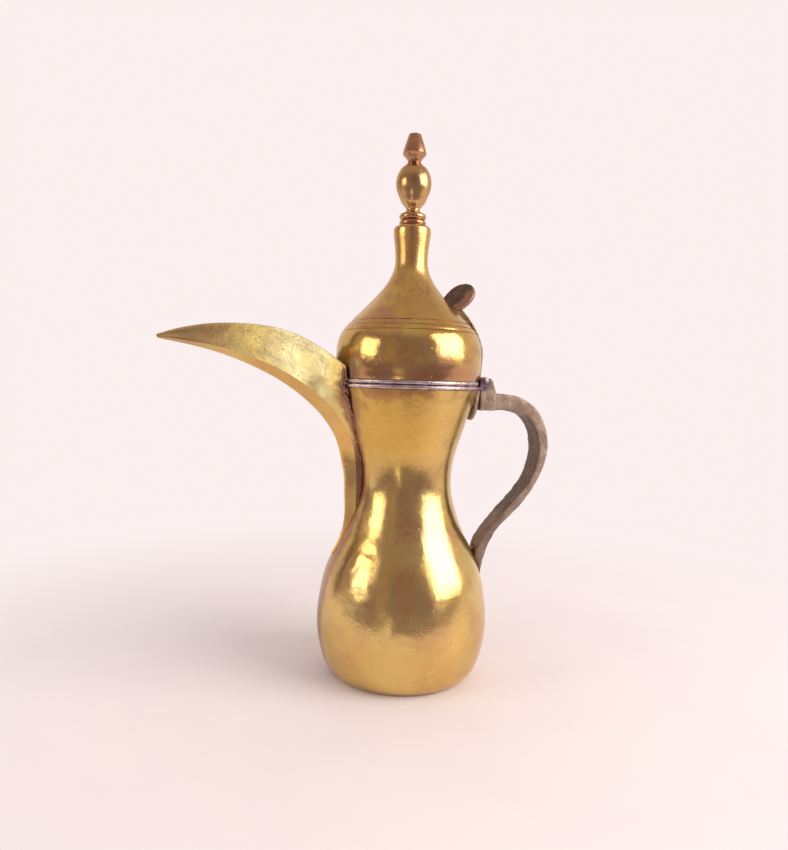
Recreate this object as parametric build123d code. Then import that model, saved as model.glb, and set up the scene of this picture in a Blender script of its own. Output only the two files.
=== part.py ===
"""Dallah coffee pot: a hammered brass pot with a beak spout, strap handle and hinged lid.

Frame: origin at the centre of the base on the turning axis, +Z up, spout along -X,
handle and hinge along +X, symmetric about the XZ plane but for the thumb plate.  Millimetres.
"""
import math
import os

from build123d import *

# ---- driving dimensions ----------------------------------------------------
SHEET = 1.3                 # brass sheet of the pot and lid
SPOUT_SHEET = 1.2           # sheet of the spout
WAIST_Z = 105.0             # joint between bowl and neck
WAIST_R = 24.9
NECK_TOP_Z = 154.0
PARTING_Z = 156.5           # plane between the pot's ring and the lid's ring
PARTING_GAP = 0.1
RING_R_IN = 35.2
RING_R_OUT = 37.9
LID_FOOT_Z = 158.8          # where the dome stands on its ring
CHIMNEY_TOP_Z = 236.0
CAP_TOP_Z = 240.1
FINIAL_Z = 246.9
TOP_Z = 288.0

BASE_R = 30.0               # disc let into the foot
FOOT_R = 33.0               # flat part of the foot

HINGE_X = 40.6
HINGE_Z = 159.0
PIN_R = 1.4
PIN_PLAY = 0.05
KNUCKLE_R = 2.8
KNUCKLE_HALF = 4.7          # half length of the lid's middle knuckle
LUG_R = 2.5
LUG_IN = 5.1                # the pot's two lugs lie between these distances from Y = 0
LUG_OUT = 8.6

HANDLE_HALF = 8.5           # half width of the handle at its widest
STRAP_T = 1.4               # lid strap thickness
LID_CLEAR = 0.7             # spout cheeks stand this far off the dome
RIVET_R = 1.6

# ---- outlines: (height, radius) down the turned surfaces ---------------------
BOWL = [(0.0, FOOT_R), (4.5, 40.0), (12.0, 43.4), (27.0, 46.1), (42.0, 45.1), (54.0, 42.6),
        (66.0, 37.9), (80.0, 31.2), (92.0, 27.0), (WAIST_Z, WAIST_R)]
NECK = [(WAIST_Z, WAIST_R), (114.0, 25.5), (124.0, 27.9), (136.0, 31.6), (NECK_TOP_Z, 37.2)]
DOME = [(LID_FOOT_Z, 37.3), (164.0, 38.4), (171.5, 38.9), (178.0, 38.3), (183.0, 36.5),
        (188.0, 32.5), (197.0, 23.8), (206.0, 15.7), (212.0, 11.6), (218.5, 9.1),
        (225.0, 8.8), (231.0, 9.3), (CHIMNEY_TOP_Z, 9.9)]

# Spout sections, from the tip to below the waist, with smooth sheets lofted through them.
# Each lies in a plane across the spout: keel (x, z), top (x, z), share of the way up to the
# crease, half width there, half width on top.
SPOUT = [
    ((-129.2, 176.3), (-129.7, 178.0), 0.40, 0.8, 1.0),
    ((-117.0, 174.1), (-119.0, 181.0), 0.24, 3.6, 5.2),
    ((-102.0, 170.7), (-104.0, 183.7), 0.21, 5.65, 8.8),
    ((-86.0, 165.2), (-86.5, 184.3), 0.21, 7.1, 11.8),
    ((-71.0, 158.2), (-67.0, 181.9), 0.215, 8.2, 13.9),
    ((-59.0, 150.5), (-49.5, 174.2), 0.225, 8.75, 15.4),
    ((-50.0, 142.8), (-33.0, 163.0), 0.24, 8.7, 16.4),
    ((-43.5, 135.3), (-23.0, 154.0), 0.24, 8.35, 16.8),
    ((-38.6, 127.0), (-16.0, 140.0), 0.27, 6.4, 11.0),
    ((-35.8, 117.5), (-12.0, 124.0), 0.30, 4.6, 6.5),
    ((-33.8, 107.0), (-11.0, 109.0), 0.28, 4.0, 5.0),
    ((-33.1, 95.0), (-11.0, 95.0), 0.26, 3.9, 4.8),
    ((-33.0, 84.0), (-12.0, 81.0), 0.25, 3.7, 4.6),
    ((-35.2, 74.0), (-16.0, 68.0), 0.22, 3.2, 4.2),
    ((-39.5, 65.0), (-22.0, 58.0), 0.20, 2.4, 3.6),
]

# Half widths of the pouring opening in the neck, by height.
POUR_OPENING = [(118.0, 1.4), (128.0, 3.6), (138.0, 7.2), (150.0, 10.2)]

# Handle edges (x, z), outer from the block round to the foot, and inner back again.
BLOCK_X_OUT = 47.4          # outer face of the hinge block, where the handle starts
HANDLE_OUTER = [(BLOCK_X_OUT, 152.6), (56.5, 152.4), (67.0, 148.5), (74.5, 140.6), (78.6, 128.0),
                (77.0, 114.5), (71.0, 101.0), (60.5, 88.0), (51.2, 78.0), (45.6, 67.0), (42.8, 53.0)]
HANDLE_INNER = [(37.0, 53.0), (38.5, 62.0), (41.2, 71.0), (47.0, 80.0), (59.0, 93.4), (68.0, 105.0),
                (72.6, 118.0), (71.6, 131.5), (65.6, 140.4), (57.0, 143.4), (BLOCK_X_OUT, 143.8)]
HANDLE_PLAN = [(7.6, 156.0), (HANDLE_HALF, 120.0), (6.4, 50.0)]     # half width, height

# Thumb plate: an oval that leans away from the finial and is bent towards the -Y side.
THUMB_CENTRE = (26.4, 204.7)
THUMB_LEAN = 45.0           # degrees from vertical
THUMB_TWIST = 38.0          # degrees about its own long axis
THUMB_HALF_LENGTH = 9.8
THUMB_HALF_WIDTH = 8.3
THUMB_T = 2.3

UNIT_SPEED = (1.0, 1.0)      # curves run by length, so end directions keep unit weight


def point(x, z, y=0.0):
    """A point of the XZ plane, or one beside it."""
    return Vector(x, y, z)


def curve(outline, start=None, end=None):
    """Smooth curve through (height, radius) stations, with end directions as (radius, height)."""
    points = [point(radius, height) for height, radius in outline]
    if start is None:
        return Spline(*points)
    return Spline(*points, tangents=[point(*start), point(*end)], tangent_scalars=UNIT_SPEED)


def inside(outline, depth):
    """The outline moved inwards by the thickness of the sheet, square to its surface."""
    moved = []
    last = len(outline) - 1
    for index, (height, radius) in enumerate(outline):
        low = outline[max(index - 1, 0)]
        high = outline[min(index + 1, last)]
        rise = high[0] - low[0]
        run = high[1] - low[1]
        length = math.hypot(rise, run)
        moved.append((height + depth * run / length, radius - depth * rise / length))
    return moved


def polyline(corners):
    """Straight edges through (x, z) corners."""
    return [Line(point(*a), point(*b)) for a, b in zip(corners, corners[1:])]


def face_of(edges):
    """Flat face inside a closed run of edges."""
    return make_face(Wire(edges))


def turned(edges):
    """Solid of revolution about the pot's axis."""
    return revolve(face_of(edges), axis=Axis.Z, revolution_arc=360)


def turned_block(corners):
    """Solid of revolution with straight edges through (radius, height) corners."""
    return turned(polyline(corners + corners[:1]))


def across(edges, half_width):
    """A flat XZ face given width, centred on the plane of symmetry."""
    return extrude(face_of(edges), amount=half_width, both=True, dir=(0, 1, 0))


def without(solid, tools):
    """The solid with each tool cut out of it."""
    for tool in tools:
        solid = solid - tool
    return solid


def brick(low, high):
    """Rectangular block between two corners."""
    size = [b - a for a, b in zip(low, high)]
    middle = [0.5 * (a + b) for a, b in zip(low, high)]
    return Pos(*middle) * Box(*size)


def rod(start, end, radius):
    """Round bar between two points."""
    axis = Vector(*end) - Vector(*start)
    plane = Plane(origin=start, z_dir=axis)
    return extrude(plane * Circle(radius), amount=axis.length)


def domed_head(centre, direction, radius, height):
    """Low domed rivet head standing on a surface."""
    plane = Plane(origin=centre, z_dir=direction)
    ball_r = (radius * radius + height * height) / (2 * height)
    ball = plane * Pos(0, 0, height - ball_r) * Sphere(ball_r)
    keep = extrude(plane * Circle(radius * 1.2), amount=height * 1.5)
    return ball & keep


# ---- reference solids ---------------------------------------------------------
FOOT_DIRECTION = (1.0, 0.0)
WAIST_DIRECTION = (0.0, 1.0)
NECK_TOP_DIRECTION = (0.29, 1.0)
DOME_FOOT_DIRECTION = (0.25, 1.0)
CHIMNEY_DIRECTION = (0.1, 1.0)
NECK_TOP_R_IN = NECK[-1][1] - SHEET * 1.04
DOME_FOOT_R_IN = DOME[0][1] - SHEET * 1.02


def bowl_curve():
    return curve(BOWL, FOOT_DIRECTION, WAIST_DIRECTION)


def neck_curve():
    return curve(NECK, WAIST_DIRECTION, NECK_TOP_DIRECTION)


def dome_curve(grow=0.0):
    outline = inside(DOME, -grow) if grow else DOME
    return curve(outline, DOME_FOOT_DIRECTION, CHIMNEY_DIRECTION)


def filled_pot():
    """Everything inside the pot's outer surface, up to the parting plane."""
    bottom = Line(point(0, 0), point(FOOT_R, 0))
    shoulder = polyline([(NECK[-1][1], NECK_TOP_Z), (RING_R_OUT, NECK_TOP_Z),
                         (RING_R_OUT, PARTING_Z), (0, PARTING_Z), (0, 0)])
    return turned([bottom, bowl_curve(), neck_curve()] + shoulder)


def bowl_curve_in():
    inner = inside(BOWL, SHEET)
    inner[0] = (SHEET, FOOT_R)
    inner[-1] = (WAIST_Z, WAIST_R - SHEET)
    return curve(inner, FOOT_DIRECTION, WAIST_DIRECTION)


def neck_curve_in():
    inner = inside(NECK, SHEET)
    inner[0] = (WAIST_Z, WAIST_R - SHEET)
    inner[-1] = (NECK_TOP_Z, NECK_TOP_R_IN)
    return curve(inner, WAIST_DIRECTION, NECK_TOP_DIRECTION)


def dome_curve_in():
    inner = inside(DOME, SHEET)
    inner[0] = (LID_FOOT_Z, DOME_FOOT_R_IN)
    inner[-1] = (CHIMNEY_TOP_Z, DOME[-1][1] - SHEET)
    return curve(inner, DOME_FOOT_DIRECTION, CHIMNEY_DIRECTION)


def pot_inside():
    """The space that bowl and neck enclose."""
    closing = polyline([(NECK_TOP_R_IN, NECK_TOP_Z), (0, NECK_TOP_Z), (0, SHEET), (FOOT_R, SHEET)])
    return turned([bowl_curve_in(), neck_curve_in()] + closing)


def lid_inside():
    """The space under the dome."""
    closing = polyline([(DOME[-1][1] - SHEET, CHIMNEY_TOP_Z), (0, CHIMNEY_TOP_Z), (0, LID_FOOT_Z),
                        (DOME_FOOT_R_IN, LID_FOOT_Z)])
    return turned([dome_curve_in()] + closing)


def filled_lid():
    """Everything inside the dome's outer surface."""
    closing = polyline([(DOME[-1][1], CHIMNEY_TOP_Z), (0, CHIMNEY_TOP_Z), (0, LID_FOOT_Z),
                        (DOME[0][1], LID_FOOT_Z)])
    return turned([dome_curve()] + closing)


def lid_clearance():
    """Space the lid and its ring need, with play all round."""
    outline = inside(DOME[:8], -LID_CLEAR)
    wall = curve(outline, DOME_FOOT_DIRECTION, (-0.9, 1.0))
    first = outline[0]
    last = outline[-1]
    ring = RING_R_OUT + LID_CLEAR
    edges = polyline([(last[1], last[0]), (0, last[0]), (0, PARTING_Z - PARTING_GAP),
                      (ring, PARTING_Z - PARTING_GAP), (ring, first[0]), (first[1], first[0])])
    return turned([wall] + edges)


# ---- pot ----------------------------------------------------------------------
def base_plate():
    return extrude(Plane.XY * Circle(BASE_R), amount=SHEET)


def lower_bowl():
    """Raised bowl, from the turned-in foot to the waist."""
    foot = polyline([(FOOT_R, SHEET), (BASE_R, SHEET), (BASE_R, 0), (FOOT_R, 0)])
    top = Line(point(WAIST_R, WAIST_Z), point(WAIST_R - SHEET, WAIST_Z))
    bowl = turned([bowl_curve(), top, bowl_curve_in()] + foot)
    return without(bowl, foot_rivets())


def upper_neck():
    """Flared neck, open at the pouring side."""
    low = Line(point(WAIST_R - SHEET, WAIST_Z), point(WAIST_R, WAIST_Z))
    high = Line(point(NECK[-1][1], NECK_TOP_Z), point(NECK_TOP_R_IN, NECK_TOP_Z))
    neck = turned([neck_curve(), high, neck_curve_in(), low]) - pour_cutter()
    return without(neck, handle_studs())


def pour_cutter():
    """Prism that opens the neck into the spout."""
    right = [Vector(0, half, height) for height, half in POUR_OPENING]
    left = [Vector(0, -half, height) for height, half in reversed(POUR_OPENING)]
    loop = right + left
    edges = [Line(a, b) for a, b in zip(loop, loop[1:] + loop[:1])]
    reach = 2 * RING_R_OUT
    return extrude(make_face(Wire(edges)), amount=reach, dir=(-1, 0, 0))


def rim_ring(low, high):
    """Rounded wire ring round the mouth."""
    belly = 0.5 * (high - low)
    inner = RING_R_IN
    outer = RING_R_OUT - belly
    arc = ThreePointArc(point(outer, low), point(RING_R_OUT, low + belly), point(outer, high))
    sides = polyline([(outer, high), (inner, high), (inner, low), (outer, low)])
    return turned([arc] + sides)


# ---- spout ----------------------------------------------------------------------
def spout_section(station, sheet):
    """Outer and inner corners of one section: keel, crease and top, on the +Y side."""
    keel, top, share, crease_half, top_half = station
    length = math.hypot(top[0] - keel[0], top[1] - keel[1])
    along = ((top[0] - keel[0]) / length, (top[1] - keel[1]) / length)
    thickness = min(sheet, 0.45 * crease_half)
    rise = share * length
    facet = math.hypot(rise, crease_half)
    cheek = math.hypot(length - rise, top_half - crease_half)
    keel_in = thickness * facet / crease_half
    side_shift = thickness * cheek / (length - rise)
    facet_slope = rise / crease_half
    cheek_slope = (top_half - crease_half) / (length - rise)
    # The moved facet is s = keel_in + facet_slope * y, the moved cheek y = y0 + cheek_slope * s.
    offset_half = crease_half - cheek_slope * rise - side_shift
    half_in = (offset_half + cheek_slope * keel_in) / (1 - cheek_slope * facet_slope)
    rise_in = keel_in + facet_slope * half_in
    top_in = offset_half + cheek_slope * length

    def place(distance, half):
        return Vector(keel[0] + along[0] * distance, half, keel[1] + along[1] * distance)

    outer = [place(0, 0), place(rise, crease_half), place(length, top_half)]
    inner = [place(keel_in, 0), place(rise_in, half_in), place(length, top_in)]
    return outer, inner


def mirrored(corner):
    return Vector(corner.X, -corner.Y, corner.Z)


def polygon_face(corners):
    edges = [Line(a, b) for a, b in zip(corners, corners[1:] + corners[:1])]
    return make_face(Wire(edges))


def spout_cheek(side):
    """One side wall of the spout, from the crease to the pouring lip."""
    faces = []
    for station in SPOUT:
        outer, inner = spout_section(station, SPOUT_SHEET)
        corners = [outer[1], outer[2], inner[2], inner[1]]
        if side < 0:
            corners = [mirrored(corner) for corner in corners]
        faces.append(polygon_face(corners))
    return fitted_to_pot(loft(faces))


def spout_keel():
    """Folded underside of the spout, running down into the ridge on the waist."""
    faces = []
    for station in SPOUT:
        outer, inner = spout_section(station, SPOUT_SHEET)
        corners = [outer[0], outer[1], inner[1], inner[0], mirrored(inner[1]), mirrored(outer[1])]
        faces.append(polygon_face(corners))
    return fitted_to_pot(loft(faces))


def fitted_to_pot(sheet):
    """Spout sheet cut back to the pot's wall and clear of the lid."""
    return sheet - filled_pot() - lid_clearance()


# ---- handle -----------------------------------------------------------------------
BLOCK_X_IN = 38.6
BLOCK_LOW_Z = 143.5
BLOCK_TOP_Z = 161.0
BLOCK_BACK = [(BLOCK_X_OUT, 153.5), (45.4, 159.8), (44.2, BLOCK_TOP_Z)]     # (x, z) up its back
BLOCK_FRONT = [(41.8, BLOCK_TOP_Z), (BLOCK_X_IN, 156.0)]                    # and down its front
BLOCK_HALF = LUG_OUT - 0.4
SLOT_PLAY = 0.4             # room beside the knuckle
CUP_PLAY = 0.5              # room under the knuckle
SADDLE_HALF = 6.0
SADDLE_X_IN = 33.0
SADDLE_LOW_Z = 145.9
SADDLE_TOP_Z = 153.3
TONGUE_X_IN = 36.4
TONGUE_LOW_Z = 137.6
TONGUE_HALF = 7.8
TONGUE_TOP_Z = 154.4
TONGUE_LEAN = 8.0           # degrees, its foot towards the neck
TONGUE_DISH = 0.7           # depth of its dished inner face
TONGUE_DISH_R = 60.0
TAB_LOW_Z = NECK_TOP_Z + 0.4
TAB_TOP_Z = PARTING_Z - 0.2
STUD_Z = 149.0
STUD_HALF_SPACING = 3.6
STUD_IN_X = 33.6
STUD_OUT_X = 44.0
BURR_R = 2.8
BURR_DEPTH = 3.0            # how far a burr may reach towards the sheet it bears on
HINGE_REACH = 12.0
PIN_HEAD_R = 2.6
PIN_HEAD_T = 0.9
FOOT_HEAD_R = 3.0
FOOT_HEAD_T = 1.3
HEAD_SINK = 0.3             # heads sit this far into their seats
RIVET_TAIL = 0.4            # rivet end proud of its washer
FOOT_RIVETS = [(57.5, 38.6, 43.6), (66.0, 34.8, 45.6)]     # height, inner end x, head x


def handle_strap():
    """Curved handle, cut to seat on the bowl, narrower towards its foot."""
    outer = Spline(*[point(*p) for p in HANDLE_OUTER])
    inner = Spline(*[point(*p) for p in HANDLE_INNER])
    foot = Line(point(*HANDLE_OUTER[-1]), point(*HANDLE_INNER[0]))
    butt = Line(point(*HANDLE_INNER[-1]), point(*HANDLE_OUTER[0]))
    strap = across([outer, foot, inner, butt], HANDLE_HALF)
    right = [Vector(0, half, height) for half, height in HANDLE_PLAN]
    left = [mirrored(corner) for corner in reversed(right)]
    slab = extrude(polygon_face(right + left), amount=2 * BLOCK_X_OUT, dir=(1, 0, 0))
    strap = (strap & slab) - filled_pot()
    return without(strap, foot_rivets())


def pin_line(radius):
    """The hinge's bore, longer than the hinge."""
    return rod((HINGE_X, -HINGE_REACH, HINGE_Z), (HINGE_X, HINGE_REACH, HINGE_Z), radius)


def hinge_block():
    """Block at the top of the handle: a fork for the hinge with a slot for the lid's strap."""
    block = hinge_block_outline()
    slot_half = KNUCKLE_HALF + SLOT_PLAY
    slot_floor = HINGE_Z - KNUCKLE_R - CUP_PLAY
    slot = brick((0, -slot_half, slot_floor), (2 * BLOCK_X_OUT, slot_half, 2 * BLOCK_TOP_Z))
    block = block - slot - pin_line(PIN_R) - filled_pot()
    return without(block, hinge_lugs() + handle_studs())


def hinge_block_outline():
    """The block before its slot and bores are cut."""
    foot = (BLOCK_X_IN, BLOCK_LOW_Z)
    outline = [foot, (BLOCK_X_OUT, BLOCK_LOW_Z)] + BLOCK_BACK + BLOCK_FRONT + [foot]
    return across(polyline(outline), BLOCK_HALF)


def hinge_lugs():
    """Two lugs of the pot's ring that carry the hinge pin."""
    lugs = []
    for side in (-1, 1):
        low = (HINGE_X, side * LUG_IN, HINGE_Z)
        high = (HINGE_X, side * LUG_OUT, HINGE_Z)
        eye = rod(low, high, LUG_R)
        tab = polyline([(RING_R_IN, TAB_LOW_Z), (HINGE_X, TAB_LOW_Z), (HINGE_X + 0.8 * LUG_R, TAB_TOP_Z),
                        (HINGE_X, HINGE_Z), (HINGE_X - LUG_R, HINGE_Z),
                        (HINGE_X - LUG_R, TAB_TOP_Z), (RING_R_IN, TAB_TOP_Z), (RING_R_IN, TAB_LOW_Z)])
        middle = 0.5 * side * (LUG_IN + LUG_OUT)
        tab = Pos(0, middle, 0) * across(tab, 0.5 * (LUG_OUT - LUG_IN))
        lugs.append(eye + tab - filled_pot() - lid_clearance() - pin_line(PIN_R))
    return lugs


def handle_tongue():
    """Round-ended leaf on the inner face of the block, hanging beside the neck."""
    centre_z = TONGUE_LOW_Z + TONGUE_HALF
    plane = Plane(origin=(TONGUE_X_IN, 0, 0), x_dir=(0, 1, 0), z_dir=(1, 0, 0))
    leaf = plane * Pos(0, centre_z, 0) * Circle(TONGUE_HALF)
    upper = plane * Pos(0, 0.5 * (centre_z + TONGUE_TOP_Z), 0) * Rectangle(
        2 * TONGUE_HALF, TONGUE_TOP_Z - centre_z)
    leaf = extrude(leaf + upper, amount=BLOCK_X_IN - TONGUE_X_IN)
    hollow = Pos(TONGUE_X_IN + TONGUE_DISH - TONGUE_DISH_R, 0, centre_z) * Sphere(TONGUE_DISH_R)
    top = Axis((BLOCK_X_IN, 0, TONGUE_TOP_Z), (0, 1, 0))
    leaf = (leaf - hollow).rotate(top, TONGUE_LEAN)
    leaf = leaf - filled_pot() - hinge_block_outline()
    return without(leaf, hinge_lugs() + handle_studs())


def handle_saddle():
    """Packing piece brazed between the neck and the tongue."""
    saddle = brick((SADDLE_X_IN, -SADDLE_HALF, SADDLE_LOW_Z),
                   (TONGUE_X_IN + TONGUE_DISH, SADDLE_HALF, SADDLE_TOP_Z))
    saddle = saddle - filled_pot() - handle_tongue()
    return without(saddle, handle_studs())


def handle_studs():
    """Studs from the block through tongue and neck, peened over inside."""
    studs = []
    for side in (-1, 1):
        y = side * STUD_HALF_SPACING
        shank = rod((STUD_IN_X, y, STUD_Z), (STUD_OUT_X, y, STUD_Z), RIVET_R)
        burr = rod((STUD_IN_X, y, STUD_Z), (STUD_IN_X + BURR_DEPTH, y, STUD_Z), BURR_R) & pot_inside()
        studs.append(shank + burr)
    return studs


def foot_rivets():
    """Rivets through handle and bowl, domed outside."""
    rivets = []
    for z, inner_x, outer_x in FOOT_RIVETS:
        shank = rod((inner_x, 0, z), (outer_x, 0, z), RIVET_R)
        rivets.append(shank + domed_head((outer_x - HEAD_SINK, 0, z), (1, 0, 0), FOOT_HEAD_R, FOOT_HEAD_T))
    return rivets


def foot_rivet_burrs():
    """Washers under the peened ends of the foot rivets, inside the bowl."""
    burrs = []
    for z, inner_x, _ in FOOT_RIVETS:
        disc = rod((inner_x + RIVET_TAIL, 0, z), (inner_x + BURR_DEPTH, 0, z), BURR_R) & pot_inside()
        burrs.append(disc - rod((inner_x, 0, z), (inner_x + 2 * BURR_DEPTH, 0, z), RIVET_R))
    return burrs


# ---- lid ----------------------------------------------------------------------------
GROOVE_SPOTS = [(184.2, 35.7), (186.8, 33.6), (189.4, 31.3)]
GROOVE_R = 0.55
COLLAR_LOW_Z = 149.6
COLLAR_R = 33.0
COLLAR_T = 1.0
FLANGE_LOW_Z = 157.4
FLANGE_TOP_Z = 158.4
CAP_SPIGOT_Z = 231.5
CAP_SPIGOT_R = 7.9
CAP_SHOULDER_Z = 237.9
CAP_BULGE_Z = 239.3
CAP_TOP_R = 8.0
BEAD_R = 7.1                # the collar's two beads, and the groove between them
BEAD_WAIST_R = 5.9
BEAD_SPLIT_Z = 243.3
FINIAL_FOOT_R = 4.6
FINIAL_NECK_R = 3.4
FINIAL_TIP_R = 3.3
CONE_Z = 277.9
CONE_R = 6.3
EGG = [(FINIAL_Z, FINIAL_FOOT_R), (248.9, 3.6), (251.7, 5.6), (254.8, 7.2), (258.4, 8.7),
       (262.9, 9.4), (267.7, 8.3), (270.8, 6.2), (273.9, FINIAL_NECK_R)]
STEM_HEAD_R = 3.4
WASHER_R = 6.0
STEM_R = 2.0
STEM_LOW_Z = 226.6
STEM_TOP_Z = 263.0
WASHER_LOW_Z = 228.0


def lid_dome():
    """Domed lid drawn up into a chimney, with three turned grooves."""
    low = Line(point(DOME_FOOT_R_IN, LID_FOOT_Z), point(DOME[0][1], LID_FOOT_Z))
    high = Line(point(DOME[-1][1], CHIMNEY_TOP_Z), point(DOME[-1][1] - SHEET, CHIMNEY_TOP_Z))
    dome = turned([dome_curve(), high, dome_curve_in(), low])
    grooves = [Pos(0, 0, height) * Torus(radius, GROOVE_R) for height, radius in GROOVE_SPOTS]
    return without(dome, grooves + strap_rivets())


def lid_collar():
    """Short tube under the lid that centres it in the mouth, hung from the lid's ring."""
    inner = COLLAR_R - COLLAR_T
    return turned_block([(inner, COLLAR_LOW_Z), (COLLAR_R, COLLAR_LOW_Z), (COLLAR_R, FLANGE_LOW_Z),
                         (RING_R_IN, FLANGE_LOW_Z), (RING_R_IN, FLANGE_TOP_Z), (inner, FLANGE_TOP_Z)])


def chimney_cap():
    """Turned cap that closes the chimney."""
    edge = DOME[-1][1]
    side = polyline([(STEM_R, CAP_SPIGOT_Z), (CAP_SPIGOT_R, CAP_SPIGOT_Z), (CAP_SPIGOT_R, CHIMNEY_TOP_Z),
                     (edge, CHIMNEY_TOP_Z), (edge, CAP_SHOULDER_Z)])
    bulge = point(0.75 * edge + 0.25 * CAP_TOP_R, CAP_BULGE_Z)
    shoulder = ThreePointArc(point(edge, CAP_SHOULDER_Z), bulge, point(CAP_TOP_R, CAP_TOP_Z))
    top = polyline([(CAP_TOP_R, CAP_TOP_Z), (STEM_R, CAP_TOP_Z), (STEM_R, CAP_SPIGOT_Z)])
    return turned(side + [shoulder] + top)


def bead(low, high):
    """Outline of one round bead of the collar."""
    return ThreePointArc(point(BEAD_WAIST_R, low), point(BEAD_R, 0.5 * (low + high)),
                         point(BEAD_WAIST_R, high))


def finial_collar():
    """Double bead under the finial."""
    sides = polyline([(BEAD_WAIST_R, FINIAL_Z), (STEM_R, FINIAL_Z), (STEM_R, CAP_TOP_Z),
                      (BEAD_WAIST_R, CAP_TOP_Z)])
    return turned([bead(CAP_TOP_Z, BEAD_SPLIT_Z), bead(BEAD_SPLIT_Z, FINIAL_Z)] + sides)


def finial():
    """Turned finial: neck, egg and small cone, bored for the stem."""
    egg = curve(EGG, (-0.9, 1.0), (-0.2, 1.0))
    flare = curve([EGG[-1], (CONE_Z, CONE_R)], (0.2, 1.0), (0.6, 1.0))
    cone = curve([(CONE_Z, CONE_R), (282.5, 5.1), (TOP_Z, FINIAL_TIP_R)], (-0.2, 1.0), (-0.25, 1.0))
    closing = polyline([(FINIAL_TIP_R, TOP_Z), (0, TOP_Z), (0, STEM_TOP_Z), (STEM_R, STEM_TOP_Z),
                        (STEM_R, FINIAL_Z), (FINIAL_FOOT_R, FINIAL_Z)])
    return turned([egg, flare, cone] + closing)


def finial_stem():
    """Stem through collar and cap, peened over its washer inside the chimney."""
    return turned_block([(0, STEM_LOW_Z), (STEM_HEAD_R, STEM_LOW_Z), (STEM_HEAD_R, WASHER_LOW_Z),
                         (STEM_R, WASHER_LOW_Z), (STEM_R, STEM_TOP_Z), (0, STEM_TOP_Z)])


def stem_washer():
    return turned_block([(STEM_R, WASHER_LOW_Z), (WASHER_R, WASHER_LOW_Z), (WASHER_R, CAP_SPIGOT_Z),
                         (STEM_R, CAP_SPIGOT_Z)])


STRAP_PATH = [(38.3, 159.2), (38.35, 163.5), (38.95, 171.5), (38.4, 178.0), (36.7, 183.0), (24.4, 199.0)]
STRAP_OUTWARD = [(1.0, 0.0), (1.0, -0.05), (1.0, 0.05), (0.95, 0.3), (0.84, 0.55), (0.79, 0.61)]
STRAP_RIVETS = [(168.5, 40.3), (177.0, 40.0)]       # height, head x
STRAP_RIVET_R = 1.2
STRAP_RIVET_LENGTH = 4.6
STRAP_HEAD_R = 2.2
STRAP_HEAD_T = 1.0
STRAP_HEAD_SINK = 0.1


def lid_strap():
    """Strap from the middle knuckle up the back of the dome to the thumb plate."""
    inner_points = [point(*place) for place in STRAP_PATH]
    outer_points = [point(x + STRAP_T * out_x, z + STRAP_T * out_z)
                    for (x, z), (out_x, out_z) in zip(STRAP_PATH, STRAP_OUTWARD)]
    low_end = Line(inner_points[0], outer_points[0])
    high_end = Line(outer_points[-1], inner_points[-1])
    strap = across([Spline(*outer_points), high_end, Spline(*inner_points), low_end], KNUCKLE_HALF)
    eye = rod((HINGE_X, -KNUCKLE_HALF, HINGE_Z), (HINGE_X, KNUCKLE_HALF, HINGE_Z), KNUCKLE_R)
    ring = rim_ring(PARTING_Z, LID_FOOT_Z)
    strap = strap + eye - pin_line(PIN_R + PIN_PLAY) - filled_lid() - ring - thumb_plate()
    below_plate = max(strap.solids(), key=lambda solid: solid.volume)
    return without(below_plate, strap_rivets())


def strap_rivets():
    """Rivets through strap and dome, domed outside and peened inside."""
    rivets = []
    for z, head_x in STRAP_RIVETS:
        tail_x = head_x - STRAP_RIVET_LENGTH
        shank = rod((tail_x, 0, z), (head_x, 0, z), STRAP_RIVET_R)
        burr = rod((tail_x, 0, z), (head_x, 0, z), BURR_R) & lid_inside()
        head = domed_head((head_x - STRAP_HEAD_SINK, 0, z), (1, 0, 0), STRAP_HEAD_R, STRAP_HEAD_T)
        rivets.append(shank + burr + head)
    return rivets


def hinge_pin():
    """Pin through lugs and knuckle, peened at both ends."""
    pin = rod((HINGE_X, -LUG_OUT, HINGE_Z), (HINGE_X, LUG_OUT, HINGE_Z), PIN_R)
    for side in (-1, 1):
        pin = pin + domed_head((HINGE_X, side * LUG_OUT, HINGE_Z), (0, side, 0), PIN_HEAD_R, PIN_HEAD_T)
    return pin


def thumb_plate():
    """Oval plate for the thumb, brazed to the strap's end and bent to one side."""
    lean = math.radians(THUMB_LEAN)
    up = (math.sin(lean), 0, math.cos(lean))
    twist = math.radians(THUMB_TWIST)
    flat = math.cos(twist)
    normal = (flat * math.cos(lean), math.sin(twist), -flat * math.sin(lean))
    plane = Plane(origin=(THUMB_CENTRE[0], 0, THUMB_CENTRE[1]), x_dir=up, z_dir=normal)
    plate = extrude(plane * Ellipse(THUMB_HALF_LENGTH, THUMB_HALF_WIDTH), amount=THUMB_T)
    return plate - lid_clearance()


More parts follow.
